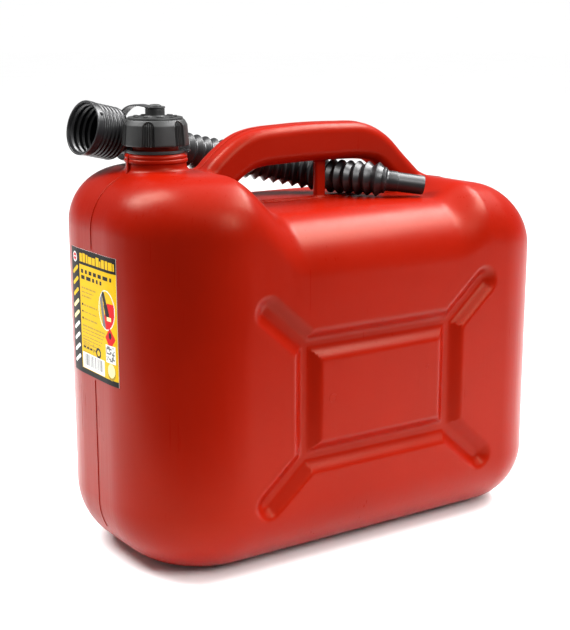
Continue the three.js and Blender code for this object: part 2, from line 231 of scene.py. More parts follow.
class Route:
    """A smooth line through points, measured by its length: a centripetal Catmull-Rom curve."""

    def __init__(self, through, steps=60):
        knots = np.asarray(through, float)
        ends = (2 * knots[0] - knots[1], 2 * knots[-1] - knots[-2])
        padded = np.vstack([ends[0], knots, ends[1]])
        t = np.linspace(0, 1, steps, endpoint=False)[:, None]
        runs = []
        for a, b, c, d in zip(padded, padded[1:], padded[2:], padded[3:]):
            gaps = [math.sqrt(np.linalg.norm(q - p)) for p, q in ((a, b), (b, c), (c, d))]
            into, over, out_of = (b - a) / gaps[0], (c - b) / gaps[1], (d - c) / gaps[2]
            start = (into - (c - a) / (gaps[0] + gaps[1]) + over) * gaps[1]
            end = (over - (d - b) / (gaps[1] + gaps[2]) + out_of) * gaps[1]
            bend = -3 * b + 3 * c - 2 * start - end
            close = 2 * b - 2 * c + start + end
            runs.append(b + start * t + bend * t**2 + close * t**3)
        self.points = np.vstack([*runs, knots[-1:]])
        steps_along = np.linalg.norm(np.diff(self.points, axis=0), axis=1)
        self.along = np.concatenate([[0], np.cumsum(steps_along)])
        self.length = self.along[-1]

    def at(self, along):
        """Points and directions at these distances along; beyond its ends the line runs straight on."""
        along = np.atleast_1d(np.asarray(along, float))

        def place(distance):
            inside = np.clip(distance, 0, self.length)
            return np.stack([np.interp(inside, self.along, self.points[:, k]) for k in range(3)], axis=-1)

        middle = place(along)
        way = place(along + 0.5) - place(along - 0.5)
        way /= np.linalg.norm(way, axis=-1, keepdims=True)
        return middle, way


def swept(route, profile, segments=64, shape=None):
    """A closed outline of (distance along, radius) swept round a route."""
    profile = np.asarray(profile, float)
    middle, forward = route.at(profile[:, 0])
    side = np.cross(forward, UP)
    side /= np.linalg.norm(side, axis=-1, keepdims=True)
    above = np.cross(side, forward)
    angle = np.linspace(0, 2 * np.pi, segments, endpoint=False)[None, :, None]
    radius = profile[:, 1][:, None, None] + 0 * angle
    if shape:
        radius = shape(profile[:, 0][:, None, None], radius, angle)
    points = middle[:, None] + radius * (np.cos(angle) * side[:, None] + np.sin(angle) * above[:, None])
    return points.reshape(-1, 3), grid_faces(len(profile), segments, wrap_rows=True)


def ribbon(route_points, across, section):
    """A closed strip: section is an outline of (sideways, outwards), carried along points whose sideways
    direction is across."""
    points = np.asarray(route_points, float)
    along = np.gradient(points, axis=0)
    along /= np.linalg.norm(along, axis=1, keepdims=True)
    sideways = np.broadcast_to(np.asarray(across, float), points.shape)
    outwards = np.cross(along, sideways)
    outwards /= np.linalg.norm(outwards, axis=1, keepdims=True)
    section = np.asarray(section, float)
    made = points[:, None] + section[None, :, :1] * sideways[:, None]
    made = made + section[None, :, 1:] * outwards[:, None]
    return made.reshape(-1, 3), capped_faces(len(points), len(section))


# ---------------- the can body as a distance field
def eased(x, span):
    """A smooth step from 0 to 1 as x crosses the span."""
    t = np.clip((x - span[0]) / (span[1] - span[0]), 0, 1)
    return t * t * (3 - 2 * t)


def top_height(x):
    fall = (DECK - SHOULDER) * eased(x, DECK_FRONT)
    rise = (HUMP - DECK) * eased(x, DECK_REAR)
    return SHOULDER + fall + rise - REAR_SLOPE * np.maximum(0, x - DECK_REAR[1])


def meet(a, b, radius):
    """Where both distances are negative, with a rounded edge."""
    corner = np.hypot(np.maximum(a + radius, 0), np.maximum(b + radius, 0))
    return corner + np.minimum(np.maximum(a, b) + radius, 0) - radius


def blended(a, b, reach):
    """Where either distance is negative, with a fillet."""
    share = np.clip(0.5 + 0.5 * (b - a) / reach, 0, 1)
    return b + (a - b) * share - reach * share * (1 - share)


def segment_distance(u, v, start, end):
    du, dv = end[0] - start[0], end[1] - start[1]
    t = np.clip(((u - start[0]) * du + (v - start[1]) * dv) / (du * du + dv * dv), 0, 1)
    return np.hypot(u - start[0] - t * du, v - start[1] - t * dv), t


def channel_press(x, z):
    """How deep the stiffening channels are pressed into the side at this place."""
    u, v = np.abs(x - CHANNEL_CENTRE[0]), np.abs(z - CHANNEL_CENTRE[1])
    corner = CHANNEL_FRAME
    runs = [((corner[0], 0), corner), ((0, corner[1]), corner), (corner, CHANNEL_ARM)]
    nearest = np.minimum.reduce([segment_distance(u, v, a, b)[0] for a, b in runs])
    return CHANNEL_DEPTH * eased(CHANNEL_HALF - nearest, (0, CHANNEL_HALF - CHANNEL_FLOOR))


handle_route = Route(HANDLE_LINE, steps=7).points


def handle_outline(x, z):
    """Distance from the handle's outline; its line holds x, z and half the depth there."""
    nearest = np.inf
    for start, end in zip(handle_route, handle_route[1:]):
        away, t = segment_distance(x, z, start, end)
        nearest = np.minimum(nearest, away - start[2] - t * (end[2] - start[2]))
    return nearest


HANDLE_FILLET = 13
HANDLE_REAR_FILLET = 7
WEB_ROUND = 1.8
WEB_FILLET = 2.5
COLLAR_FILLET = 5
CHAMBER_R = 34
CHAMBER_HALF = 26
CHAMBER_MIDDLE = 285


def can_field(x, y, z):
    """Signed distance, roughly, from the can's outside: negative in the plastic.
    The block is solid but for the neck's bore and a chamber under it."""
    corner = np.where(x < 0, FRONT_CORNER, REAR_CORNER)
    plan = meet(np.abs(x) - HALF_LENGTH, np.abs(y) - HALF_WIDTH, corner)
    edge = TOP_EDGE[0] + (TOP_EDGE[1] - TOP_EDGE[0]) * (x + HALF_LENGTH) / (2 * HALF_LENGTH)
    block = meet(meet(plan, -z, BOTTOM_EDGE), z - top_height(x), edge)
    block = block + channel_press(x, z) * (np.abs(y) > HALF_WIDTH / 2)
    bar = meet(handle_outline(x, z), np.abs(y) - HANDLE_HALF_WIDTH, HANDLE_ROUND)
    reach = HANDLE_FILLET - (HANDLE_FILLET - HANDLE_REAR_FILLET) * eased(x, (20, 90))
    made = blended(block, bar, reach)
    web_middle = (WEB_X[0] + WEB_X[1]) / 2
    from_web = np.abs(x - web_middle) - (WEB_X[1] - WEB_X[0]) / 2
    web = meet(from_web, np.abs(y) - WEB_HALF_WIDTH, WEB_ROUND)
    web = np.maximum(web, np.maximum(z - SHOULDER, DECK - 8 - z))
    made = blended(made, web, WEB_FILLET)
    from_neck = np.hypot(x - NECK_X, y)
    collar = meet(from_neck - COLLAR, z - (COLLAR_TOP - 5), 1)
    collar = np.maximum(collar, SHOULDER - 15 - z)
    made = blended(made, collar, COLLAR_FILLET)
    bore = np.maximum(from_neck - NECK_BORE - 1, DECK - z)
    chamber = np.hypot(from_neck / CHAMBER_R, (z - CHAMBER_MIDDLE) / CHAMBER_HALF) - 1
    return np.maximum(made, -np.minimum(bore, chamber * CHAMBER_HALF))


def lines(*stops):
    """Grid lines through stops of (end, step), from the first stop's end."""
    made = [stops[0][0]]
    for end, step in stops[1:]:
        count = math.ceil((end - made[-1]) / step)
        made.extend(np.linspace(made[-1], end, count + 1)[1:])
    return np.array(made)


def surface_of(field, axes):
    """A closed quad mesh of where the field is zero: one point for each grid cell the surface crosses."""
    x, y, z = axes
    values = field(x[:, None, None], y[None, :, None], z[None, None, :])
    inside = values < 0
    total = np.zeros([len(a) - 1 for a in axes] + [3])
    count = np.zeros(total.shape[:3])
    crossings = []
    for axis in range(3):
        ahead = tuple(slice(1, None) if k == axis else slice(None) for k in range(3))
        behind = tuple(slice(None, -1) if k == axis else slice(None) for k in range(3))
        low, high = values[behind], values[ahead]
        crossed = inside[behind] != inside[ahead]
        where = np.argwhere(crossed)
        share = low[crossed] / (low[crossed] - high[crossed])
        at = np.stack([axes[k][where[:, k]] for k in range(3)], axis=1)
        at[:, axis] += share * (axes[axis][where[:, axis] + 1] - axes[axis][where[:, axis]])
        first, second = [k for k in range(3) if k != axis]
        cells = []
        for step in ((0, 0), (-1, 0), (-1, -1), (0, -1)):
            cell = where.copy()
            cell[:, first] += step[0]
            cell[:, second] += step[1]
            cells.append(cell)
            np.add.at(total, tuple(cell.T), at)
            np.add.at(count, tuple(cell.T), 1)
        leaving = inside[behind][crossed]
        crossings.append((cells, leaving != (axis == 1)))
    used = count > 0
    index = np.full(used.shape, -1)
    index[used] = np.arange(used.sum())
    points = total[used] / count[used][:, None]
    faces = []
    for cells, forwards in crossings:
        quads = np.stack([index[tuple(cell.T)] for cell in cells], axis=1)
        faces.append(np.where(forwards[:, None], quads, quads[:, ::-1]))
    return points, np.concatenate(faces)


def slope_of(field, points, reach=0.25):
    """How the field changes along x, y and z at these points."""
    slopes = []
    for axis in range(3):
        step = np.zeros(3)
        step[axis] = reach
        ahead, behind = points + step, points - step
        slopes.append((field(*ahead.T) - field(*behind.T)) / (2 * reach))
    return np.stack(slopes, axis=1)


def settled(field, points, rounds=4):
    """Points moved onto the field's surface."""
    for _ in range(rounds):
        slope = slope_of(field, points)
        away = field(*points.T)
        step = away[:, None] * slope / np.maximum((slope**2).sum(1), 0.05)[:, None]
        points = points - np.clip(step, -2, 2)
    return points


# ---------------- materials
class Finish:
    """A material with its node tree; nodes are added by short calls."""

    def __init__(self, name, colour, roughness, specular=0.5):
        self.material = bpy.data.materials.new(name)
        self.material.use_nodes = True
        self.tree = self.material.node_tree
        self.shader = self.tree.nodes["Principled BSDF"]
        self.shader.inputs["Base Color"].default_value = (*colour, 1)
        self.shader.inputs["Roughness"].default_value = roughness
        self.shader.inputs["Specular IOR Level"].default_value = specular
        self.place = self.tree.nodes.new("ShaderNodeTexCoord").outputs["Object"]

    def noise(self, scale, stretch=(1, 1, 1), detail=3, turn=(0, 0, 0)):
        mapping = self.tree.nodes.new("ShaderNodeMapping")
        mapping.inputs["Scale"].default_value = stretch
        mapping.inputs["Rotation"].default_value = turn
        texture = self.tree.nodes.new("ShaderNodeTexNoise")
        texture.inputs["Scale"].default_value = scale
        texture.inputs["Detail"].default_value = detail
        self.tree.links.new(self.place, mapping.inputs["Vector"])
        self.tree.links.new(mapping.outputs["Vector"], texture.inputs["Vector"])
        return texture.outputs["Fac"]

    def ranged(self, value, low, high, start=0.3, end=0.7):
        node = self.tree.nodes.new("ShaderNodeMapRange")
        node.inputs["From Min"].default_value = start
        node.inputs["From Max"].default_value = end
        node.inputs["To Min"].default_value = low
        node.inputs["To Max"].default_value = high
        self.tree.links.new(value, node.inputs["Value"])
        return node.outputs["Result"]

    def maths(self, operation, a, b):
        node = self.tree.nodes.new("ShaderNodeMath")
        node.operation = operation
        for socket, value in zip(node.inputs, (a, b)):
            if isinstance(value, (int, float)):
                socket.default_value = value
            else:
                self.tree.links.new(value, socket)
        return node.outputs["Value"]

    def colour_between(self, value, first, second):
        node = self.tree.nodes.new("ShaderNodeMix")
        node.data_type = "RGBA"
        node.inputs["A"].default_value = (*first, 1)
        node.inputs["B"].default_value = (*second, 1)
        self.tree.links.new(value, node.inputs["Factor"])
        self.tree.links.new(node.outputs["Result"], self.shader.inputs["Base Color"])

    def rough(self, value):
        self.tree.links.new(value, self.shader.inputs["Roughness"])

    def bumps(self, *layers):
        """Each layer is a height socket, a distance in millimetres and a strength."""
        normal = None
        for height, distance, strength in layers:
            node = self.tree.nodes.new("ShaderNodeBump")
            node.inputs["Distance"].default_value = distance * MM
            node.inputs["Strength"].default_value = strength
            self.tree.links.new(height, node.inputs["Height"])
            if normal:
                self.tree.links.new(normal, node.inputs["Normal"])
            normal = node.outputs["Normal"]
        self.tree.links.new(normal, self.shader.inputs["Normal"])


RED = (0.225, 0.0046, 0.0003)
DEEP_RED = (0.215, 0.0042, 0.0002)
LIGHT_RED = (0.235, 0.005, 0.0004)
WARM_SHINE = (1, 0.66, 0.44, 1)


def red_plastic():
    finish = Finish("red_polyethylene", RED, 0.36, specular=0.13)
    finish.shader.inputs["Specular Tint"].default_value = WARM_SHINE
    streaks = finish.noise(420, stretch=(1, 1, 0.03), detail=4)
    clouds = finish.noise(14, detail=3)
    grain = finish.noise(1500, detail=2)
    finish.colour_between(finish.ranged(clouds, 0, 1), DEEP_RED, LIGHT_RED)
    rough = finish.ranged(streaks, 0.28, 0.37)
    finish.rough(finish.maths("ADD", rough, finish.ranged(clouds, -0.02, 0.02)))
    finish.bumps((streaks, 0.10, 0.6), (grain, 0.05, 0.25))
    return finish.material


def black_plastic(name, low, high, roughness, grain_depth):
    finish = Finish(name, low, roughness)
    clouds = finish.noise(60, detail=4)
    grain = finish.noise(1800, detail=3)
    smears = finish.noise(35, detail=5)
    finish.colour_between(finish.ranged(clouds, 0, 1), low, high)
    finish.rough(finish.ranged(smears, roughness - 0.06, roughness + 0.08))
    finish.bumps((grain, grain_depth, 0.5), (clouds, 0.12, 0.2))
    return finish.material


def rubber():
    finish = Finish("seal_rubber", (0.03, 0.03, 0.032), 0.75)
    grain = finish.noise(1400, detail=3)
    finish.colour_between(finish.ranged(grain, 0, 1), (0.022, 0.022, 0.024), (0.04, 0.04, 0.042))
    finish.bumps((grain, 0.08, 0.6))
    return finish.material


def printed(name, colour, other):
    finish = Finish(name, colour, 0.5, specular=0.04)
    dots = finish.noise(2600, detail=2)
    waves = finish.noise(40, detail=2)
    finish.colour_between(finish.ranged(dots, 0, 1), colour, other)
    finish.rough(finish.ranged(waves, 0.36, 0.46))
    finish.bumps((waves, 0.15, 0.25))
    return finish.material


red = red_plastic()
cap_black = black_plastic(
    "cap_polyethylene", (0.005, 0.0052, 0.005), (0.012, 0.0124, 0.012), roughness=0.5, grain_depth=0.16
)
spout_black = black_plastic(
    "spout_polyethylene", (0.008, 0.008, 0.009), (0.014, 0.014, 0.015), roughness=0.34, grain_depth=0.05
)
strap_black = black_plastic(
    "strap_polyethylene", (0.012, 0.012, 0.013), (0.02, 0.02, 0.021), roughness=0.42, grain_depth=0.06
)
seal = rubber()


def make_can_body():
    """One smooth skin. The grid is finest at the edges, the channels, the handle and its web."""
    half_y = ((6, 1.5), (30, 2), (60, 3.75), (94, 3), (109, 2))
    axes = (
        lines((-206, 0), (-172, 3), (-50, 2.1), (8, 3.2), (27, 1.6), (66, 3.2), (136, 2.1), (206, 3)),
        lines((-109, 0), (-94, 2), (-60, 3), (-30, 3.75), (-6, 2), *half_y),
        lines((-3, 0), (45, 3), (111, 2.1), (170, 3.2), (235, 2.1), (282, 3), (356, 2.1)),
    )
    points, faces = surface_of(can_field, axes)
    points = settled(can_field, points)
    body = new_piece("can_body", [(points, faces)], None, red, crease=0, tidy=False)
    slopes = slope_of(can_field, points)
    normals = slopes / np.linalg.norm(slopes, axis=1, keepdims=True)
    body.data.normals_split_custom_set_from_vertices(normals.tolist())
    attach(body, "can")
    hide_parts("can_shell")


def helix(wall, start, outwards, height=1.6, root=2.6, crest=1.2, per_turn=72, fading=9):
    """A screw ridge on an upright wall, fading out at both ends; outwards is -1 where it faces in."""
    count = round(THREAD_TURNS * per_turn)
    step = np.arange(count + 1)
    angle = 2 * np.pi * step / per_turn
    fade = np.clip(np.minimum(step, count - step) / fading, 0, 1)
    upper = [(height, crest / 2), (0, root / 2), (-0.4, root / 2)]
    section = [(out, -up) for out, up in reversed(upper)] + upper
    rows = []
    for a, lift, share in zip(angle, start + THREAD_LEAD * step / per_turn, fade):
        for out, up in section:
            r = wall + outwards * (out * share if out > 0 else out - 0.05)
            rows.append((NECK_X + r * math.cos(a), r * math.sin(a), lift + up * (0.5 + 0.5 * share)))
    return np.array(rows), capped_faces(count + 1, len(section))


def make_neck():
    """The collar with its beads, and the threaded tube above it."""
    foot = COLLAR_TOP - 7.6
    collar = [
        (NECK_BORE, foot - 14),
        (COLLAR - 1.5, foot - 14),
        (COLLAR - 0.2, foot),
        (COLLAR + 1.1, foot + 0.8),
        (COLLAR + 1.1, foot + 3),
        (COLLAR + 0.2, foot + 3.7),
        (COLLAR + 0.7, foot + 4.4),
        (COLLAR + 0.7, foot + 5.9),
        (COLLAR - 1, COLLAR_TOP),
        (NECK_TUBE + 0.8, COLLAR_TOP),
        (NECK_TUBE, COLLAR_TOP + 0.8),
        (NECK_TUBE, NECK_RIM),
        (NECK_BORE, NECK_RIM),
    ]
    parts = [turned(softened(collar, 0.7, 4), 128), helix(NECK_TUBE, NECK_THREAD_START, 1)]
    new_piece("can_neck", parts, "can", red)


def collar_lug():
    """The parting line's flash, thickened to a fin where it runs up the collar's front."""
    low, high = SHOULDER - 3.5, COLLAR_TOP - 0.8
    outline = [(-2, low), (3.4, low - 1), (2.2, low + 4.5), (1.6, high - 2), (1.3, high), (-2, high)]
    outline = softened(outline, 1.2, 3)
    centre = outline.mean(0)
    half, edge = 1.1, 0.5
    points = []
    for y, inset in ((-half, 0.125), (edge - half, 0), (half - edge, 0), (half, 0.125)):
        ring = outline + (centre - outline) * inset
        points.extend((NECK_X - COLLAR - out, y, z) for out, z in ring)
    return np.array(points), capped_faces(4, len(outline))


def on_profile(start, way, reach=80):
    """Points on the can's outside, found by going from each start along way until the plastic is met."""
    start = np.asarray(start, float)
    way = np.asarray(way, float)
    steps = np.linspace(0, reach, 161)
    tried = start[:, None] + steps[None, :, None] * way
    field = can_field(tried[..., 0], tried[..., 1], tried[..., 2])
    first = np.argmax(field < 0, axis=1)
    found = start + steps[first][:, None] * way
    for _ in range(14):
        found = found + 0.7 * can_field(*found.T)[:, None] * way
    return found


def bead_along(points, width=1.0):
    """A fine raised line along points in an upright plane."""
    turns = np.linspace(0, 2 * np.pi, 8, endpoint=False)
    bead = [(0.55 * math.cos(a) * width, (0.12 + 0.4 * math.sin(a)) * width) for a in turns]
    return ribbon(points, (0, 1, 0), bead)


def parting_line():
    """The mould's parting line, round the can in its middle plane but for the label and the flat base."""
    ahead, behind, below, above, under_handle = -225, 225, -20, 372, 312
    heights = np.linspace(30, 318, 90)
    runs = (
        on_profile([(ahead, 0, z) for z in heights if z < label_low[2] - 1], (1, 0, 0)),
        on_profile([(ahead, 0, z) for z in heights if z > label_high[2] + 1], (1, 0, 0)),
        on_profile([(behind, 0, z) for z in np.linspace(30, 270, 60)], (-1, 0, 0)),
        on_profile([(x, 0, below) for x in np.linspace(-190, -156, 12)], (0, 0, 1)),
        on_profile([(x, 0, below) for x in np.linspace(156, 190, 12)], (0, 0, 1)),
        on_profile([(x, 0, above) for x in np.linspace(-112, 172, 130)], (0, 0, -1)),
        on_profile([(x, 0, under_handle) for x in np.linspace(-62, 8, 40)], (0, 0, -1)),
    )
    return [bead_along(points) for points in runs]


def pinch_strip():
    """The pinched strip along the deck, where the parison was pressed together under the handle."""
    parts = []
    for y, width in ((-5.2, 1.5), (5.2, 1.5), (-2.4, 1.1), (2.4, 1.1)):
        points = on_profile([(x, y, 302) for x in np.linspace(-58, 84, 90)], (0, 0, -1), reach=30)
        keep = points[:, 2] < HUMP
        parts.append(bead_along(points[keep], width))
    return parts


def round_mark(centre, radius, width=0.45):
    """A faint raised ring on a side of the can, left by the mould. The centre is x, which side, and z."""
    x, side, z = centre
    sunk, raised, segments = -0.3, 0.16, 40
    profile = [(-width, sunk), (-width / 2, raised), (width / 2, raised), (width, sunk)]
    points = []
    for wider, out in profile:
        for a in np.linspace(0, 2 * np.pi, segments, endpoint=False):
            r = radius + wider
            points.append((x + r * math.cos(a), side * (HALF_WIDTH + out), z + r * math.sin(a)))
    return np.array(points), grid_faces(len(profile), segments, wrap_rows=True)


def make_can_details():
    new_piece("collar_lug", [collar_lug()], "can", red)
    marks = [round_mark((-42.7, side, 140.7), 3.4) for side in (-1, 1)]
    marks += [round_mark((57, side, 152), 1.6) for side in (-1, 1)]
    parts = [*parting_line(), *pinch_strip(), *marks]
    new_piece("mould_lines", parts, "can", red, crease=60)


# ---------------- cap
SCOOPS = 6
SCOOP_TURN = math.radians(48.8)
SCOOP_HALF = 5.4
SCOOP_TOP = 356.5
SCOOP_ARCH = 5.2
SCOOP_DEPTH = 1.9
RIB_PITCH = 2.1
RIB_HEIGHT = 1.2
CAP_THREAD_START = 343.5
SKIRT_INSIDE_R = 20.9
CAP_PLATE = 364.3
cap_radius = (cap_high[0] - cap_low[0]) / 2


def scooped(radius, height, angle):
    """The skirt's outside is pressed in at each scoop, with fine grip ribs in its hollow."""
    pitch = 2 * np.pi / SCOOPS
    turn = (angle - SCOOP_TURN + pitch / 2) % pitch - pitch / 2
    across = turn * cap_radius
    off = np.hypot(across / SCOOP_HALF, np.maximum(height - SCOOP_TOP, 0) / SCOOP_ARCH)
    sunk = eased(1 - off, (0, 0.16))
    wave = (1 + np.cos(2 * np.pi * across / RIB_PITCH)) / 2
    ribs = RIB_HEIGHT * wave * np.clip((0.86 - off) / 0.1, 0, 1)
    outside = np.clip((radius - SKIRT_INSIDE_R - 0.4) / 1.2, 0, 1)
    return radius - outside * (SCOOP_DEPTH * sunk - ribs * sunk)


def make_cap():
    """A threaded skirt, a stepped plate, a boss and the button that the tether's eye snaps over."""
    bottom, top = cap_low[2], cap_high[2]
    ceiling, plate_top, plate_r = CAP_PLATE - 2, CAP_PLATE, 22.2
    boss_r, boss_top = 7.8, eye_low[2] - 0.3
    stud_r, button_r, stud_top = 3.6, 5.4, boss_top + 1.9
    outline = [
        (0.2, ceiling),
        (SKIRT_INSIDE_R, ceiling),
        (SKIRT_INSIDE_R, bottom),
        (cap_radius - 0.3, bottom),
        (cap_radius, bottom + 1.2),
        (cap_radius - 1.3, 358.3),
        (plate_r + 1.2, 362.2),
        (plate_r + 0.5, 362.5),
        (plate_r, 362.5),
        (plate_r, 363),
        (plate_r - 0.2, plate_top - 0.2),
        (plate_r - 1, plate_top),
        (10.6, plate_top),
        (10, plate_top + 0.5),
        (boss_r + 0.5, plate_top + 0.5),
        (boss_r, plate_top + 1.4),
        (boss_r, boss_top),
        (stud_r, boss_top),
        (stud_r, stud_top),
        (button_r, stud_top),
        (button_r - 0.2, top - 1.1),
        (stud_r, top - 0.3),
        (0.2, top),
    ]
    outline = densified(softened(outline, 0.35, 2), 1.0)
    parts = [turned(outline, 540, shape=scooped), helix(SKIRT_INSIDE_R, CAP_THREAD_START, -1)]
    marks = 9
    for k in range(marks):
        size = (5.8, 2.8) if k % 2 == 0 else (3.2, 3)
        parts.append(raised_mark(16.2, 2 * math.pi * (k + 0.35) / marks, *size))
    cap = new_piece("screw_cap", parts, "cap", cap_black, crease=28)
    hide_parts("filler_cap")


def raised_mark(distance, angle, long, wide, high=1.1, corners=16):
    """A low raised block on the cap's plate, bent round the cap's axis."""
    rings = [(1.0, -0.2), (1.0, high - 0.25), (0.86, high)]
    points = []
    for share, lift in rings:
        for k in range(corners):
            a = 2 * math.pi * (k + 0.5) / corners
            corner = max(abs(math.cos(a)), abs(math.sin(a))) ** 0.8
            along = share * long / 2 * math.cos(a) / corner
            across = share * wide / 2 * math.sin(a) / corner
            turn = angle + along / distance
            r = distance + across
            points.append((NECK_X + r * math.cos(turn), r * math.sin(turn), CAP_PLATE + lift))
    return np.array(points), capped_faces(len(rings), corners)


# ---------------- tether
ring_middle = (ring_low[2] + ring_high[2]) / 2
ring_radius = (ring_high[1] - ring_low[1]) / 2
eye_middle = (eye_low[2] + eye_high[2]) / 2
eye_radius = (eye_high[1] - eye_low[1]) / 2
RING_BORE = 19.2
EYE_BORE = 4.05


def make_tether_ring():
    """A flat washer with a raised rim and a small tongue, loose round the neck."""
    web_half, rim = 0.8, ring_radius - 1.4
    flat = [
        (RING_BORE, ring_middle - web_half),
        (rim - 0.6, ring_middle - web_half),
        (rim, ring_low[2]),
        (ring_radius, ring_low[2]),
        (ring_radius, ring_high[2]),
        (rim, ring_high[2]),
        (rim - 0.6, ring_middle + web_half),
        (RING_BORE, ring_middle + web_half),
    ]
    parts = [turned(softened(flat, 0.35), 96), ring_tab()]
    ring = new_piece("tether_ring", parts, "can", strap_black)
    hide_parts("tether_neck_ring")


def make_tether_eye():
    low, high = eye_low[2], eye_high[2]
    washer = [(EYE_BORE, low), (eye_radius, low), (eye_radius, high), (EYE_BORE, high)]
    parts = [turned(softened(washer, 0.45), 64)]
    eye = new_piece("cap_eye", parts, "tether_eye", strap_black)
    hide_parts("tether_cap_eye")


def make_tether_strap():
    """The strap leaves the ring, dips under the spout, rises behind it and comes over to the eye."""
    band_x = NECK_X + 1.3
    through = [
        (ring_radius + 0.3, ring_middle),
        (33, 333.5),
        (44, 327.5),
        (57, 325.5),
        (68.5, 331),
        (73, 341),
        (71, 352),
        (63, 359),
        (53, 365.8),
        (44, 369.6),
        (28, eye_middle + 0.2),
        (16, eye_middle),
        (eye_radius - 0.4, eye_middle),
    ]
    route = Route([(band_x, y, z) for y, z in through])
    points, _ = route.at(np.linspace(0, route.length, 110))
    edge, flank = 4, 2.8
    section = [(-edge, -0.5), (-edge, 0.35), (-flank, 0.75), (flank, 0.75)]
    section += [(edge, 0.35), (edge, -0.5), (flank, -0.7), (-flank, -0.7)]
    strip = ribbon(points, (1, 0, 0), softened(section, 0.3, 2))
    band = new_piece("tether_strap", [strip], None, strap_black)
    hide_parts("tether_band")
    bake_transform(band)


def ring_tab():
    """The small tongue on the ring, on its side away from the strap."""
    tab = [(0, -3.2), (4.4, -2.8), (6, -1.6), (6.4, 0), (6, 1.6), (4.4, 2.8), (0, 3.2)]
    layers = ((-0.75, 0.9), (-0.55, 1), (0.55, 1), (0.75, 0.9))
    root, droop = 21.5, 0.08
    turn = math.radians(-38)
    points = []
    for lift, share in layers:
        for out, side in tab:
            r, s = root + out * share, side * share
            x = r * math.cos(turn) - s * math.sin(turn)
            y = r * math.sin(turn) + s * math.cos(turn)
            points.append((NECK_X + x, y, ring_middle + lift + droop * out))
    return np.array(points), capped_faces(len(layers), len(tab))


# ---------------- spout
spout_route = Route(SPOUT_LINE)
NOZZLE_START = spout_route.length - NOZZLE_LENGTH
FRONT_END = COUPLING_LENGTH + FRONT_RIDGES * RIDGE_PITCH
REAR_START = NOZZLE_START - REAR_RIDGES * RIDGE_PITCH


def bellows_outline(start, end):
    """Sharp ridges between start and end, with the bore as the way back."""
    ridges = round((end - start) / RIDGE_PITCH)
    pitch = (end - start) / ridges
    valley, under_crest, wall = VALLEY_R + 0.05, RIDGE_R - 0.25, 2.2
    ridge_outside = (
        (0.0, VALLEY_R),
        (0.05, valley),
        (0.45, under_crest),
        (0.48, RIDGE_R),
        (0.52, RIDGE_R),
        (0.55, under_crest),
        (0.95, valley),
    )
    ridge_inside = ((0.05, SPOUT_BORE), (0.5, RIDGE_R - wall), (0.95, SPOUT_BORE))
    outside, inside = [], []
    for k in range(ridges):
        base = start + k * pitch
        outside += [(base + share * pitch, radius) for share, radius in ridge_outside]
        inside += [(base + share * pitch, radius) for share, radius in ridge_inside]
    outside.append((end, VALLEY_R))
    return outside + inside[::-1]


def make_spout():
    pieces = (
        ("bellows_front", "spout_bellows_front", COUPLING_LENGTH, FRONT_END),
        ("bellows_middle", "spout_bellows_middle", FRONT_END, REAR_START),
        ("bellows_rear", "spout_bellows_rear", REAR_START, NOZZLE_START),
    )
    made = {}
    for name, node, start, end in pieces:
        parts = [swept(spout_route, bellows_outline(start, end), 72)]
        body = "spout" if name == "bellows_middle" else None
        made[name] = new_piece(name, parts, body, spout_black, crease=30)
        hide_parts(node)
    front = [spout_route.at(s)[0][0] * MM for s in (FRONT_END, COUPLING_LENGTH)]
    rear = [spout_route.at(s)[0][0] * MM for s in (REAR_START, NOZZLE_START)]
    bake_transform(made["bellows_front"])
    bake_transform(made["bellows_rear"])


VENT_ALONG = 4.4
VENT_TURN = math.radians(35)
RIM_BAND_R = COUPLING_R + 0.6


def make_coupling():
    """The mouth: rings for a thread inside, their backs showing outside, and a smooth rim band."""
    length = COUPLING_LENGTH
    outside = [(0, COUPLING_INSIDE_R + 0.6), (0, RIM_BAND_R), (0.9, RIM_BAND_R + 0.2), (6, RIM_BAND_R)]
    hollow, ridge = COUPLING_R - 0.7, COUPLING_R + 0.3
    for along in np.arange(7.4, length - 7, 3.7):
        outside += [(along, hollow), (along + 1, hollow), (along + 1.7, ridge), (along + 2.3, ridge)]
    wall, thread = COUPLING_INSIDE_R, COUPLING_INSIDE_R - 1.4
    inside = []
    for along in np.arange(5, length - 8, 5.5):
        inside += [(along - 1.6, wall), (along - 0.5, thread), (along + 0.5, thread), (along + 1.6, wall)]
    back = [(length - 3.5, COUPLING_R - 0.3), (length - 2.4, COUPLING_R - 1.4)]
    back += [(length, RIDGE_R), (length, SPOUT_BORE)]
    seat = [(length - 3, SPOUT_BORE), (length - 3, COUPLING_INSIDE_R)]
    outline = densified(softened(outside + back + seat + inside[::-1], 0.4, 3), 0.6)
    parts = [swept(spout_route, outline, 200, shape=vented)]
    coupling = new_piece("spout_mouthpiece", parts, "spout_mouth", spout_black, crease=40)
    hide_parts("spout_coupling")


def vented(along, radius, angle):
    """The rim band has one small blind vent hole."""
    half_along, half_round, depth = 1.1, 1.6, 1.6
    turn = (angle - VENT_TURN + np.pi) % (2 * np.pi) - np.pi
    off = np.hypot((along - VENT_ALONG) / half_along, turn * COUPLING_R / half_round)
    return radius - depth * np.clip((1 - off) / 0.3, 0, 1) * (radius > COUPLING_R - 1)


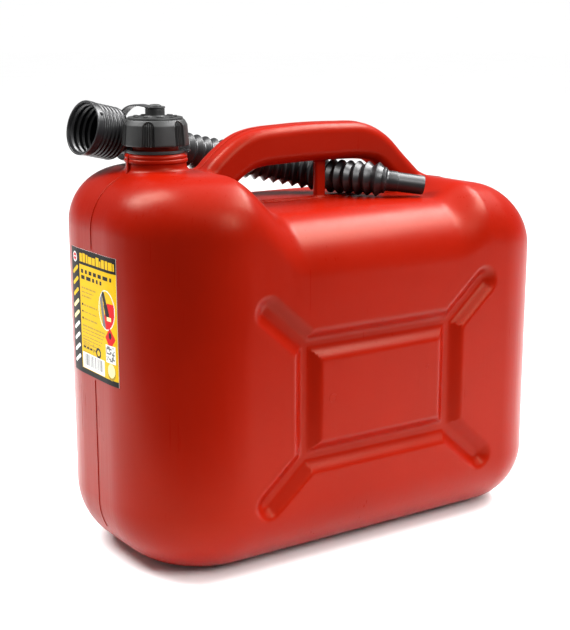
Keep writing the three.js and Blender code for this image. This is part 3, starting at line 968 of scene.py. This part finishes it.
def make_nozzle():
    """The end tube: a shoulder against the last ridge, a slightly thicker root and a thin lip."""
    start, tip = NOZZLE_START, spout_route.length
    outer = NOZZLE_R
    profile = [
        (start, outer - 1),
        (start, VALLEY_R - 0.2),
        (start + 1.3, VALLEY_R - 0.1),
        (start + 2.2, VALLEY_R - 0.2),
        (start + 3.4, outer + 1),
        (start + 4.6, outer + 0.5),
        (start + 12, outer + 0.4),
        (start + 12.8, outer),
        (tip - 0.4, outer - 0.15),
        (tip, outer - 0.3),
        (tip, outer - 1.1),
    ]
    parts = [swept(spout_route, softened(profile, 0.3, 3), 72)]
    nozzle = new_piece("nozzle_tube", parts, "spout_tip", spout_black, crease=40)
    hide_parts("spout_nozzle")


# ---------------- label
LABEL_CELL = 0.45
LABEL_STAND = 0.3
LABEL_THICKNESS = 0.6
INKS = {
    "yellow": ((0.66, 0.41, 0.002), (0.6, 0.37, 0.003)),
    "black": ((0.008, 0.008, 0.008), (0.014, 0.013, 0.012)),
    "white": ((0.74, 0.74, 0.72), (0.68, 0.68, 0.66)),
    "cream": ((0.9, 0.78, 0.36), (0.84, 0.72, 0.32)),
    "red": ((0.6, 0.01, 0.012), (0.52, 0.012, 0.012)),
    "brown": ((0.3, 0.2, 0.02), (0.36, 0.25, 0.03)),
    "grey": ((0.16, 0.16, 0.16), (0.12, 0.12, 0.12)),
}
INK_NUMBER = {name: k for k, name in enumerate(INKS)}


class Sheet:
    """A print layout: u runs from the label's left edge, v from its bottom edge, in millimetres."""

    def __init__(self, width, height):
        self.size = width, height
        self.u, self.v = np.meshgrid(
            (np.arange(round(width / LABEL_CELL)) + 0.5) * LABEL_CELL,
            (np.arange(round(height / LABEL_CELL)) + 0.5) * LABEL_CELL,
            indexing="ij",
        )
        self.ink = np.full(self.u.shape, INK_NUMBER["yellow"])

    def paint(self, mask, ink):
        self.ink[mask] = INK_NUMBER[ink]

    def block(self, left, low, right, high, ink):
        self.paint((self.u > left) & (self.u < right) & (self.v > low) & (self.v < high), ink)

    def oval(self, u, v, half_u, half_v, ink):
        self.paint(np.hypot((self.u - u) / half_u, (self.v - v) / half_v) < 1, ink)

    def diamond(self, u, v, half_u, half_v, ink):
        self.paint(np.abs(self.u - u) / half_u + np.abs(self.v - v) / half_v < 1, ink)

    def stroke(self, start, end, half, ink):
        self.paint(segment_distance(self.u, self.v, start, end)[0] < half, ink)

    def dashes(self, left, v, right, height, ink, rng):
        """A line of word-like dashes."""
        at = left
        while at < right:
            long = rng.uniform(2.5, 8)
            self.block(at, v, min(at + long, right), v + height, ink)
            at += long + height * 0.9


PANEL_LEFT = 17
PANEL_FOOT = 4.5
HEADING = 13


def label_layout():
    """Plain blocks, bars and dashes in place of the print."""
    rng = np.random.default_rng(7)
    flat = HALF_WIDTH - FRONT_CORNER
    arc = FRONT_CORNER * math.asin((label_high[1] - flat) / FRONT_CORNER)
    sheet = Sheet(2 * (flat + arc), label_high[2] - label_low[2])
    draw_borders(sheet)
    draw_heading(sheet, rng)
    draw_small_print(sheet, rng)
    draw_picture(sheet)
    draw_marks(sheet, rng)
    draw_bar_code(sheet, rng)
    return sheet


def draw_borders(sheet):
    """Black on three sides, with slanting bars up the left: white at the foot and yellow at the top."""
    width, height = sheet.size
    sheet.block(0, 0, PANEL_LEFT, height, "black")
    sheet.block(0, height - HEADING, width, height, "black")
    sheet.block(0, 0, width, PANEL_FOOT, "black")
    for k, ink in enumerate(["white"] * 4 + ["cream"] * 2 + ["yellow"] * 3):
        base = 8 + k * 9.2
        sheet.stroke((4.2, base), (12.8, base + 5.2), 1.5, ink)
    badge_u, badge_v = 8.5, height - 8
    sheet.oval(badge_u, badge_v, 4.2, 4.2, "white")
    sheet.oval(badge_u, badge_v, 3.1, 3.1, "red")
    sheet.block(badge_u - 2.7, badge_v - 0.5, badge_u + 2.7, badge_v + 0.5, "white")


def draw_heading(sheet, rng):
    """A row of bold blocks on black, and two bold rows below it."""
    width, head = sheet.size[0], sheet.size[1] - HEADING
    at, low = PANEL_LEFT + 1, head + 2.6
    for long in (4.5, 4.5, 3.2, 6, 5, 5.4, 2, 5, 4, 5.2, 3.6):
        tall = rng.uniform(5, 7.2)
        sheet.block(at, low, min(at + long, width - 2), low + tall, "yellow")
        at += long + 1.1
    sheet.dashes(PANEL_LEFT + 3, head - 6.4, width - 6, 3.2, "black", rng)
    sheet.dashes(PANEL_LEFT + 3, head - 11.6, width - 22, 3.2, "black", rng)


def draw_small_print(sheet, rng):
    left, head = PANEL_LEFT + 3, sheet.size[1] - HEADING
    for k in range(3):
        sheet.dashes(left, head - 19 - 3.4 * k, left + 25 - 4 * k, 1.1, "brown", rng)
    for k in range(3):
        v = head - 33 - 5.6 * k
        sheet.block(left - 0.5, v, left + 2, v + 1.6, "black")
        sheet.dashes(left + 3, v, left + 27, 1.1, "brown", rng)
    for k in range(6):
        sheet.dashes(left, head - 50 - 2.9 * k, left + 40 - 2 * k, 0.95, "brown", rng)
    sheet.dashes(left, head - 50 - 2.9 * 6.2, left + 24, 1.5, "black", rng)


def draw_picture(sheet):
    """A spout in a can, in an oval."""
    u, v = sheet.size[0] - 15, sheet.size[1] - HEADING - 30
    half_u, half_v = 11.8, 15.2
    sheet.oval(u, v, half_u + 0.8, half_v + 0.8, "white")
    sheet.oval(u, v, half_u, half_v, "yellow")
    right, up = sheet.u - u, sheet.v - v
    inside = np.hypot(right / half_u, up / half_v) < 1
    sheet.paint(inside & (right > up * 0.45 - 1) & (up < 6), "red")
    sheet.paint(inside & (np.abs(right + 6.5 + up * 0.2) < 2.2), "grey")
    sheet.stroke((u - 4.5, v + 12), (u + 1, v - 1), 2.3, "black")
    sheet.stroke((u - 1, v + 3), (u + 1.5, v - 3), 3, "black")
    sheet.block(u + 1, v - 8, u + 7, v - 5, "cream")


def draw_marks(sheet, rng):
    """A plain diamond, a ring, three dots and a block code."""
    width, left = sheet.size[0], PANEL_LEFT
    sheet.diamond(width - 10, 38, 7.6, 8.6, "red")
    sheet.oval(width - 10, 40.2, 2.1, 2.8, "black")
    sheet.oval(left + 30, 22, 4.4, 4.4, "black")
    sheet.oval(left + 30, 22, 2.4, 2.4, "yellow")
    for k in range(3):
        sheet.oval(left + 21, 26 - 4.2 * k, 1.4, 1.4, "brown")
    sheet.block(width - 17.5, 18, width - 3, 32.5, "white")
    cell = 1.35
    filled = rng.random((9, 9)) < 0.52
    for i, j in zip(*np.nonzero(filled)):
        u, v = width - 16.4 + cell * i, 19.2 + cell * j
        sheet.block(u, v, u + cell, v + cell, "grey")


def draw_bar_code(sheet, rng):
    """Fine rows above a bar code, and a plain round mark beside it."""
    width, left, foot = sheet.size[0], PANEL_LEFT, PANEL_FOOT
    for k in range(5):
        sheet.dashes(left + 3, 29 - 2.6 * k, left + 15, 0.9, "brown", rng)
    sheet.block(left + 1.5, foot + 0.5, left + 40, foot + 13.5, "white")
    at = left + 5
    while at < left + 37:
        thick = rng.uniform(0.5, 1.6)
        sheet.block(at, foot + 3.2, at + thick, foot + 12.6, "grey")
        at += thick + rng.uniform(0.5, 1.2)
    sheet.oval(width - 9.5, 11, 6.2, 7, "brown")
    sheet.oval(width - 9.5, 12, 5.2, 5.6, "cream")


def make_label():
    """A thin sheet bent round the front corners, one small quad for each printed cell."""
    sheet = label_layout()
    columns, rows = (n + 1 for n in sheet.ink.shape)
    width, height = sheet.size
    along = np.linspace(-width / 2, width / 2, columns)
    flat = HALF_WIDTH - FRONT_CORNER
    turn = np.maximum(np.abs(along) - flat, 0) / FRONT_CORNER
    reach = FRONT_CORNER + LABEL_STAND
    x = -HALF_LENGTH + FRONT_CORNER - reach * np.cos(turn)
    y = -np.sign(along) * (np.minimum(np.abs(along), flat) + reach * np.sin(turn))
    heights = np.linspace(label_low[2], label_low[2] + height, rows)
    face = np.stack([np.repeat(x, rows), np.repeat(y, rows), np.tile(heights, columns)], axis=1)
    back = face + np.array([LABEL_THICKNESS, 0, 0])
    quads = grid_faces(columns, rows, wrap_columns=False)
    offset = len(face)
    sides = [(k * rows + row, rows) for k in range(columns - 1) for row in (0, rows - 1)]
    sides += [(column * rows + k, 1) for k in range(rows - 1) for column in (0, columns - 1)]
    edges = [[a, a + step, a + step + offset, a + offset] for a, step in sides]
    back_quads = (quads[:, ::-1] + offset).tolist()
    parts = [(np.concatenate([face, back]), quads.tolist() + edges + back_quads)]
    inks = [printed(f"label_{name}", *colours) for name, colours in INKS.items()]
    sheet_piece = new_piece("label_sheet", parts, "can", inks, crease=40)
    unprinted = np.full(len(edges) + len(back_quads), INK_NUMBER["white"])
    numbers = np.concatenate([sheet.ink.ravel(), unprinted])
    sheet_piece.data.polygons.foreach_set("material_index", numbers.astype(np.int32))
    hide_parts("front_label")


# ---------------- studio, in metres
CAMERA_PLACE = (-0.6522, -0.9330, 0.4439)
CAMERA_WAY = (0.548, 0.806, -0.2224)
CAMERA_LENS = 75.41
LIT_MIDDLE = (0, 0, 0.22)
# Each softbox: azimuth and elevation in degrees, distance, width, height and watts.
SOFTBOXES = {
    "box_right": (76, 54, 1.7, 1.4, 0.6, 60),
    "box_left": (-124, 54, 1.6, 0.5, 0.9, 44),
    "box_front": (7, 32, 1.8, 0.34, 0.7, 16),
}


def make_camera():
    data = bpy.data.cameras.new("camera")
    data.lens = CAMERA_LENS
    data.sensor_width = 36
    data.clip_start, data.clip_end = 0.05, 50
    camera = bpy.data.objects.new("camera", data)
    camera.location = CAMERA_PLACE
    camera.rotation_mode = "QUATERNION"
    camera.rotation_quaternion = Vector(CAMERA_WAY).normalized().to_track_quat("-Z", "Y")
    bpy.context.scene.collection.objects.link(camera)
    bpy.context.scene.camera = camera


def soft_light(name, azimuth, elevation, distance, width, height, power):
    """A rectangular softbox facing the can's middle. Azimuth 0 is the -Y side and 90 the +X side."""
    data = bpy.data.lights.new(name, "AREA")
    data.shape = "RECTANGLE"
    data.size, data.size_y = width, height
    data.energy = power
    light = bpy.data.objects.new(name, data)
    a, e = math.radians(azimuth), math.radians(elevation)
    away = Vector((math.sin(a) * math.cos(e), -math.cos(a) * math.cos(e), math.sin(e)))
    light.location = Vector(LIT_MIDDLE) + away * distance
    light.rotation_mode = "QUATERNION"
    light.rotation_quaternion = (-away).to_track_quat("-Z", "Y")
    bpy.context.scene.collection.objects.link(light)


def make_floor():
    """A pale table with its near edge just out of the picture; far behind the can it slopes up."""
    near, flat_end, far, half, rise = -0.36, 15, 45, 45, 0.06
    stations = [(near, 0), (flat_end, 0), (far, (far - flat_end) * rise)]
    ahead = Vector((0.562, 0.827, 0))
    right = Vector((ahead.y, -ahead.x, 0))
    corners = [ahead * y + right * x + Vector((0, 0, z)) for y, z in stations for x in (-half, half)]
    mesh = bpy.data.meshes.new("floor")
    mesh.from_pydata(corners, [], [(0, 1, 3, 2), (2, 3, 5, 4)])
    pale = Finish("pale_floor", (0.94, 0.94, 0.94), 0.7, specular=0.1)
    pale.colour_between(pale.ranged(pale.noise(3), 0, 1), (0.95, 0.95, 0.95), (0.965, 0.965, 0.965))
    mesh.materials.append(pale.material)
    floor = bpy.data.objects.new("floor", mesh)
    bpy.context.scene.collection.objects.link(floor)


def make_lights():
    """White surroundings, a broad soft light from above, and the softboxes that shine in the plastic."""
    world = bpy.data.worlds.new("studio")
    bpy.context.scene.world = world
    world.use_nodes = True
    background = world.node_tree.nodes["Background"]
    background.inputs["Color"].default_value = (1, 1, 1, 1)
    background.inputs["Strength"].default_value = 0.25
    data = bpy.data.lights.new("overhead", "SUN")
    data.energy = 2.75
    data.angle = math.radians(85)
    overhead = bpy.data.objects.new("overhead", data)
    overhead.rotation_euler = (math.radians(14), math.radians(8), 0)
    bpy.context.scene.collection.objects.link(overhead)
    for name, setting in SOFTBOXES.items():
        soft_light(name, *setting)
    bpy.context.scene.view_settings.view_transform = "Standard"


make_camera()
make_floor()
make_lights()
make_can_body()
make_neck()
make_can_details()
make_cap()
make_tether_ring()
make_tether_eye()
make_tether_strap()
make_coupling()
make_spout()
make_nozzle()
make_label()
for node in ("cap_gasket", "spout_gasket"):
    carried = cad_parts[node]
    carried.data.materials.clear()
    carried.data.materials.append(seal)
